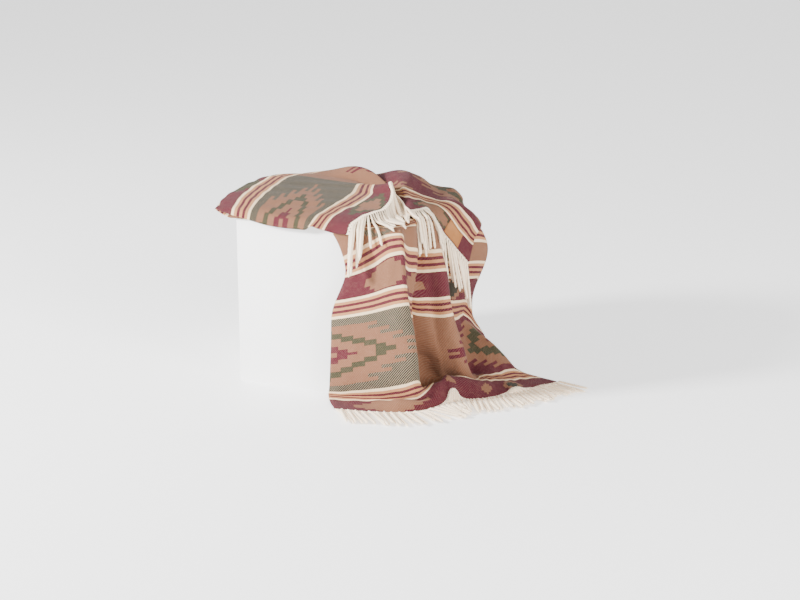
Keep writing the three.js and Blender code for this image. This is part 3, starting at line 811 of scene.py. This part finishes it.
def sheet_mesh(cloth, across, along, u_range=(0, THROW_WIDTH), v_range=(0, THROW_LENGTH), lift=0.0):
    """A grid laid on the cloth, with its u and v kept as a UV map"""
    mesh = bmesh.new()
    bmesh.ops.create_grid(mesh, x_segments=across, y_segments=along, size=0.5, calc_uvs=True)
    mesh.verts.ensure_lookup_table()
    flat = np.array([v.co[:2] for v in mesh.verts]) + 0.5
    u = u_range[0] + flat[:, 0] * (u_range[1] - u_range[0])
    v = v_range[0] + flat[:, 1] * (v_range[1] - v_range[0])
    points = cloth.points(u, v)
    if lift:
        points = points + cloth.normals(u, v) * lift
    layer = mesh.loops.layers.uv.verify()
    woven_u, woven_v = pattern_place(u, v)
    for face in mesh.faces:
        for loop in face.loops:
            n = loop.vert.index
            loop[layer].uv = (woven_u[n], woven_v[n])
    for vert, point in zip(mesh.verts, points):
        vert.co = point
    return mesh


# Fringe


STRAND_POINTS = 17
TURNS_PER_METRE = 85
PLY_APART = 0.42
PLY_THICK = 0.62
SWING_TURNS = 80
SWING_KEEP = 0.84
LENGTH_TURNS = 8
PULL_STEP = 0.0007
PULL_SPREAD = 0.07
# How strands differ: the mean and spread of their lean, their share of the length, and their bend
FLOOR_LEAN = (0.04, 0.05)
TOP_LEAN = (0, 0.09)
LENGTH_SPREAD = (0.90, 1.07)
BEND = 0.0072
HEAD_GAP = 0.0015
# A strand's radius along it, as places and shares of the full radius
RADIUS_PLACES = (0, 0.10, 0.28, 0.6, 0.94, 1)
RADIUS_SHARES = (0.6, 0.78, 1.0, 1.08, 1.0, 0.45)
COVER_DEPTH = 0.045
COVER_DRAG = 0.35
# How strands of the top hem hang on its front half and on its right half, and those of the floor hem
TOP_PULL = (0.14, -0.50, -1.0)
RIGHT_PULL = (0.22, -0.16, -1.0)
FLOOR_PULL = (0.0, 0.0, -1.0)
# The pleat of the top hem, whose strands fall in one bunch
PLEAT_U = (0.26, 0.43)
PLEAT_SHARE = 0.82
PLEAT_PULL = (0.50, -0.80, -0.90)


def hem_frame(cloth, u, v_edge, v_inner):
    """Places on a hem, the ways that the warp leaves it there, and the hem's own direction"""
    edge = np.full(len(u), v_edge)
    starts = cloth.points(u, edge)
    step = 0.012
    ahead, behind = np.minimum(u + step, THROW_WIDTH), np.maximum(u - step, 0)
    tangent = unit(cloth.points(ahead, edge) - cloth.points(behind, edge))
    ways = unit(starts - cloth.points(u, np.full(len(u), v_inner)))
    return starts, ways, tangent


def swing(chains, heads, step, pull, rests):
    """Lets chains swing and settle: each keeps its length and its first two places"""
    before = chains.copy()
    for _ in range(SWING_TURNS):
        velocity = (chains - before) * SWING_KEEP
        before = chains.copy()
        chains = chains + velocity
        chains[:, 2:] += pull
        for _ in range(LENGTH_TURNS):
            gap = chains[:, 1:] - chains[:, :-1]
            length = np.linalg.norm(gap, axis=2, keepdims=True)
            shift = gap * (1 - step / np.maximum(length, 1e-9)) * 0.5
            chains[:, 1:] -= shift
            chains[:, :-1] += shift
            chains[:, :2] = heads
        chains = rests(chains, before)
        chains[:, :2] = heads
    return chains


def rest_on_floor(heights):
    """Keeps chains on the floor, each at its own height"""

    def rests(chains, _):
        chains[:, :, 2] = np.maximum(chains[:, :, 2], heights[:, None])
        return chains

    return rests


def rest_on_cover(tree, heights):
    """Keeps chains on the outer side of the cloth below them, where they drag as they slide"""

    def rests(chains, before):
        for chain, old, height in zip(chains, before, heights):
            for n in range(2, len(chain)):
                spot, normal, _, _ = tree.find_nearest(Vector(chain[n]), COVER_DEPTH)
                if spot is None:
                    continue
                gap = (Vector(chain[n]) - spot).dot(normal)
                if gap < height:
                    chain[n] += (old[n] - chain[n]) * COVER_DRAG
                    gap = (Vector(chain[n]) - spot).dot(normal)
                    chain[n] += np.array(normal) * max(height - gap, 0)
        chains[:, :, 2] = np.maximum(chains[:, :, 2], heights[:, None])
        return chains

    return rests


def cover_tree(cloth):
    """The outer side of the cloth's lower part, over the plinth"""
    mesh = sheet_mesh(cloth, 48, 64, (0, THROW_WIDTH), (0, 1.02), CLOTH_THICKNESS / 2)
    bmesh.ops.triangulate(mesh, faces=mesh.faces)
    tree = BVHTree.FromBMesh(mesh)
    mesh.free()
    return tree


def wind_plies(path, radii):
    """Two plies wound round a path, each as its points and its radii there"""
    ways = unit(np.gradient(path, axis=0))
    side = np.cross(ways[0], (0, 0, 1) if abs(ways[0][2]) < 0.9 else (1, 0, 0))
    walked = np.concatenate([[0], np.cumsum(np.linalg.norm(np.diff(path, axis=0), axis=1))])
    offsets = []
    for way, distance in zip(ways, walked):
        side = unit(side - way * side.dot(way))
        turn = 2 * math.pi * TURNS_PER_METRE * distance
        offsets.append(side * math.cos(turn) + np.cross(way, side) * math.sin(turn))
    offsets = np.array(offsets) * radii[:, None] * PLY_APART
    return [(path + offsets, radii * PLY_THICK), (path - offsets, radii * PLY_THICK)]


def tube_piece(name, tubes, material):
    """One mesh of round tubes, each given as the points of its path and the radii there"""
    curve = bpy.data.curves.new(name, "CURVE")
    curve.dimensions = "3D"
    curve.bevel_depth = 1
    curve.bevel_resolution = 1
    curve.use_fill_caps = True
    for path, radii in tubes:
        spline = curve.splines.new("POLY")
        spline.points.add(len(path) - 1)
        spline.points.foreach_set("co", np.column_stack([path, np.ones(len(path))]).ravel())
        spline.points.foreach_set("radius", radii)
    holder = bpy.data.objects.new(name, curve)
    bpy.context.scene.collection.objects.link(holder)
    data = bpy.data.meshes.new_from_object(holder.evaluated_get(bpy.context.evaluated_depsgraph_get()))
    mesh = bmesh.new()
    mesh.from_mesh(data)
    bmesh.ops.remove_doubles(mesh, verts=mesh.verts, dist=1e-6)
    bpy.data.meshes.remove(data)
    bpy.data.objects.remove(holder)
    bpy.data.curves.remove(curve)
    return link(name, mesh, material)


def finer_path(path, times):
    """A smooth curve through a chain's points"""
    count = len(path)
    places = np.linspace(0, count - 1, (count - 1) * times + 1)
    padded = np.pad(path, ((1, 1), (0, 0)), mode="reflect", reflect_type="odd")
    cell = np.clip(np.floor(places).astype(int), 0, count - 2)
    weights = Cloth.weights(places - cell)
    return sum(weights[a][:, None] * padded[cell + a] for a in range(4))


def lay_chains(fringe, random, u, hem, on_floor):
    """Straight chains leaving a hem, before they swing: their points, the ways of their heads, the
    heights at which they rest and the steps between their points"""
    starts, ways, tangent = hem
    count = len(u)
    lean = random.normal(*(FLOOR_LEAN if on_floor else TOP_LEAN), count)
    lengths = fringe.length * random.uniform(*LENGTH_SPREAD, count)
    layers = fringe.radius * (1 + 0.9 * (np.arange(count) % 2) + random.uniform(0, 0.5, count))
    if not on_floor:
        lengths[in_pleat(u)] *= PLEAT_SHARE
    step = (lengths / (STRAND_POINTS - 1))[:, None, None]
    outward = unit(ways * (1, 1, 0)) if on_floor else ways
    aims = unit(outward + tangent * lean[:, None])
    head_ways = unit(ways + outward)
    reach = np.arange(STRAND_POINTS)[None, :, None] * step
    chains = starts[:, None, :] + aims[:, None, :] * reach
    bend = random.normal(0, BEND, count)[:, None, None] * (reach / fringe.length) ** 2
    chains = chains + tangent[:, None, :] * bend
    chains[:, 0] = starts + head_ways * HEAD_GAP
    chains[:, 1] = starts + head_ways * (HEAD_GAP + step[:, 0])
    return chains, head_ways, layers, step


def in_pleat(u):
    """Which strands leave the pleat of the top hem"""
    return (u > PLEAT_U[0]) & (u < PLEAT_U[1])


def fringe_piece(name, cloth, fringe, v_edge, v_inner, on_floor, material, seed):
    """All strands of one hem, swung until they hang or lie, as one piece"""
    random = np.random.default_rng(seed)
    count = fringe.strands
    u = (np.arange(count) + 0.5) * THROW_WIDTH / count
    hem = hem_frame(cloth, u, v_edge, v_inner)
    chains, head_ways, layers, step = lay_chains(fringe, random, u, hem, on_floor)
    heads = chains[:, :2].copy()
    heads[:, :, 2] = np.maximum(heads[:, :, 2], fringe.radius)
    rests = rest_on_floor(layers) if on_floor else rest_on_cover(cover_tree(cloth), layers)
    pulls = np.tile(np.array(FLOOR_PULL if on_floor else TOP_PULL), (count, 1))
    if not on_floor:
        pulls[u > THROW_WIDTH / 2] = RIGHT_PULL
        pulls[in_pleat(u)] = PLEAT_PULL
        pulls[:, :2] += random.normal(0, PULL_SPREAD, (count, 2))
    chains = swing(chains, heads, step, pulls[:, None, :] * PULL_STEP, rests)
    tubes = []
    for chain in chains:
        path = finer_path(chain, 2)
        share = np.linspace(0, 1, len(path))
        radii = fringe.radius * np.interp(share, RADIUS_PLACES, RADIUS_SHARES)
        path[:, 2] = np.maximum(path[:, 2], radii * 1.04)
        tubes += wind_plies(path, radii)
    tubes += root_legs(cloth, fringe, u, v_edge, heads, head_ways)
    return tube_piece(name, tubes, material)


def root_legs(cloth, fringe, u, v_edge, heads, ways):
    """Two thin yarns from the cloth's edge into the root of each strand"""
    legs = []
    spread = THROW_WIDTH / len(u) * 0.34
    for side in (-1, 1):
        feet = cloth.points(u + side * spread, np.full(len(u), v_edge))
        for foot, head, way in zip(feet, heads, ways):
            tip = head[1] + way * 0.002
            middle = (foot + tip) / 2 + (foot - head[0]) * 0.22
            path = finer_path(np.array([foot - way * 0.002, middle, tip]), 3)
            path[:, 2] = np.maximum(path[:, 2], fringe.radius * 0.5)
            legs.append((path, np.full(len(path), fringe.radius * 0.46)))
    return legs


# Operators


class THROW_OT_plinth(bpy.types.Operator):
    """Finish the plinth's paint"""

    bl_idname = "throw.plinth"
    bl_label = "Plinth"

    def execute(self, context):
        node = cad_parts["plinth"]
        node.data.materials.clear()
        node.data.materials.append(paint_material())
        return {"FINISHED"}


class THROW_OT_throw(bpy.types.Operator):
    """Lay the woven throw on the folds of the frame's sheet"""

    bl_idname = "throw.throw"
    bl_label = "Throw"

    def execute(self, context):
        cloth = Cloth(read_cloth())
        mesh = sheet_mesh(cloth, CELLS_ACROSS * FINER, CELLS_ALONG * FINER)
        piece = link("throw", mesh, woven_material(context.scene.throw))
        piece.data.uv_layers[0].name = "cloth"
        solid = piece.modifiers.new("Thickness", "SOLIDIFY")
        solid.thickness = CLOTH_THICKNESS
        solid.offset = 0
        apply_modifiers(piece)
        store["cloth"] = cloth
        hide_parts("blanket")
        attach(piece, BODY)
        return {"FINISHED"}


class THROW_OT_fringe(bpy.types.Operator):
    """Twist the fringe's strands and let them hang and lie"""

    bl_idname = "throw.fringe"
    bl_label = "Fringe"

    def execute(self, context):
        fringe = context.scene.fringe
        cloth = store["cloth"]
        material = yarn_material(fringe)
        inner = 0.014
        low = fringe_piece("fringe_low", cloth, fringe, 0.0, inner, True, material, 3)
        high = fringe_piece(
            "fringe_high", cloth, fringe, THROW_LENGTH, THROW_LENGTH - inner, False, material, 8,
        )
        for piece, node in ((low, "fringe_floor"), (high, "fringe_top")):
            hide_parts(node)
            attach(piece, BODY)
        return {"FINISHED"}


class THROW_OT_patch(bpy.types.Operator):
    """Sew the blank leather patch near the corner of the top hem"""

    bl_idname = "throw.patch"
    bl_label = "Patch"

    def execute(self, context):
        patch = context.scene.patch
        cloth = store["cloth"]
        lift = -(CLOTH_THICKNESS / 2 + patch.thickness / 2 + 0.0003)
        mesh = sheet_mesh(cloth, 24, 24, PATCH_U, PATCH_V, lift)
        piece = link("patch", mesh, leather_material(patch))
        solid = piece.modifiers.new("Thickness", "SOLIDIFY")
        solid.thickness = patch.thickness
        solid.offset = 0
        bevel = piece.modifiers.new("Edge", "BEVEL")
        bevel.width = 0.0004
        bevel.segments = 2
        bevel.angle_limit = math.radians(50)
        apply_modifiers(piece)
        thread = self.sew(cloth, patch)
        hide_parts("label_patch")
        for part in (piece, thread):
            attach(part, BODY)
        return {"FINISHED"}

    def sew(self, cloth, patch):
        inset, stitch, spacing, thread_radius = 0.003, 0.0026, 0.0042, 0.00055
        lift = -(CLOTH_THICKNESS / 2 + patch.thickness + 0.0005)
        low_u, high_u = PATCH_U[0] + inset, PATCH_U[1] - inset
        low_v, high_v = PATCH_V[0] + inset, PATCH_V[1] - inset
        stitches = []
        corners = [(low_u, low_v), (high_u, low_v), (high_u, high_v), (low_u, high_v)]
        for n in range(4):
            a = np.array(corners[n])
            b = np.array(corners[(n + 1) % 4])
            length = np.linalg.norm(b - a)
            count = int(length / spacing)
            way = (b - a) / length
            for k in range(count):
                start = a + way * (k + 0.5) * length / count
                spots = np.array([start + way * stitch * t for t in (-0.5, -0.25, 0, 0.25, 0.5)])
                path = cloth.points(spots[:, 0], spots[:, 1])
                path = path + cloth.normals(spots[:, 0], spots[:, 1]) * lift
                stitches.append((path, np.full(len(path), thread_radius)))
        return tube_piece("patch_stitches", stitches, thread_material(patch))


class THROW_OT_stage(bpy.types.Operator):
    """Set the floor, the backdrop, the soft lights and the camera"""

    bl_idname = "throw.stage"
    bl_label = "Stage"

    def execute(self, context):
        stage = context.scene.stage
        self.floor(stage)
        self.lights(context)
        self.camera(context, stage)
        return {"FINISHED"}

    def floor(self, stage):
        mesh = bmesh.new()
        bmesh.ops.create_grid(mesh, x_segments=4, y_segments=4, size=30)
        paper = wash_material("floor_paper", stage.floor)
        shader = paper.node_tree.nodes["Principled BSDF"]
        shader.inputs["Emission Color"].default_value = (1, 1, 1, 1)
        shader.inputs["Emission Strength"].default_value = stage.glow
        floor = link("floor", mesh, paper)

    def lights(self, context):
        world = bpy.data.worlds.new("studio")
        world.use_nodes = True
        background = world.node_tree.nodes["Background"]
        background.inputs["Color"].default_value = (1, 1, 1, 1)
        background.inputs["Strength"].default_value = SKY_STRENGTH
        context.scene.world = world
        for name, (place, size, power) in LIGHTS.items():
            self.area(name, place, size, power)

    def area(self, name, place, size, power):
        data = bpy.data.lights.new(name, "AREA")
        data.size = size
        data.energy = power
        lamp = bpy.data.objects.new(name, data)
        lamp.location = place
        aim = Vector(LIGHT_AIM) - Vector(place)
        lamp.rotation_euler = aim.to_track_quat("-Z", "Y").to_euler()
        bpy.context.scene.collection.objects.link(lamp)

    def camera(self, context, stage):
        data = bpy.data.cameras.new("camera")
        data.sensor_width = CAMERA_SENSOR
        data.lens = CAMERA_LENS
        camera = bpy.data.objects.new("camera", data)
        a, e = stage.azimuth, stage.elevation
        back = Vector((math.sin(a) * math.cos(e), -math.cos(a) * math.cos(e), math.sin(e)))
        camera.location = CAMERA_PLACE
        camera.rotation_euler = (-back).to_track_quat("-Z", "Y").to_euler()
        context.scene.collection.objects.link(camera)
        context.scene.camera = camera


class THROW_PT_panel(bpy.types.Panel):
    """Lists the settings and the operators in the sidebar"""

    bl_idname = "THROW_PT_panel"
    bl_label = "Throw on a Plinth"
    bl_space_type = "VIEW_3D"
    bl_region_type = "UI"
    bl_category = "Throw"

    def draw(self, context):
        for group in (context.scene.throw, context.scene.fringe, context.scene.patch, context.scene.stage):
            box = self.layout.box()
            for name in group.bl_rna.properties.keys():
                if name not in ("rna_type", "name"):
                    box.prop(group, name)
        for operator in OPERATORS:
            self.layout.operator(operator.bl_idname)


OPERATORS = (THROW_OT_plinth, THROW_OT_throw, THROW_OT_fringe, THROW_OT_patch, THROW_OT_stage)
GROUPS = (
    ("throw", ThrowSettings), ("fringe", FringeSettings), ("patch", PatchSettings), ("stage", StageSettings),
)
store = {}


def register():
    for name, group in GROUPS:
        bpy.utils.register_class(group)
        setattr(bpy.types.Scene, name, PointerProperty(type=group))
    for operator in OPERATORS:
        bpy.utils.register_class(operator)
    bpy.utils.register_class(THROW_PT_panel)


def unregister():
    bpy.utils.unregister_class(THROW_PT_panel)
    for operator in reversed(OPERATORS):
        bpy.utils.unregister_class(operator)
    for name, group in reversed(GROUPS):
        delattr(bpy.types.Scene, name)
        bpy.utils.unregister_class(group)


def main():
    register()
    for operator in OPERATORS:
        family, name = operator.bl_idname.split(".")
        getattr(getattr(bpy.ops, family), name)()


if __name__ == "__main__":
    main()
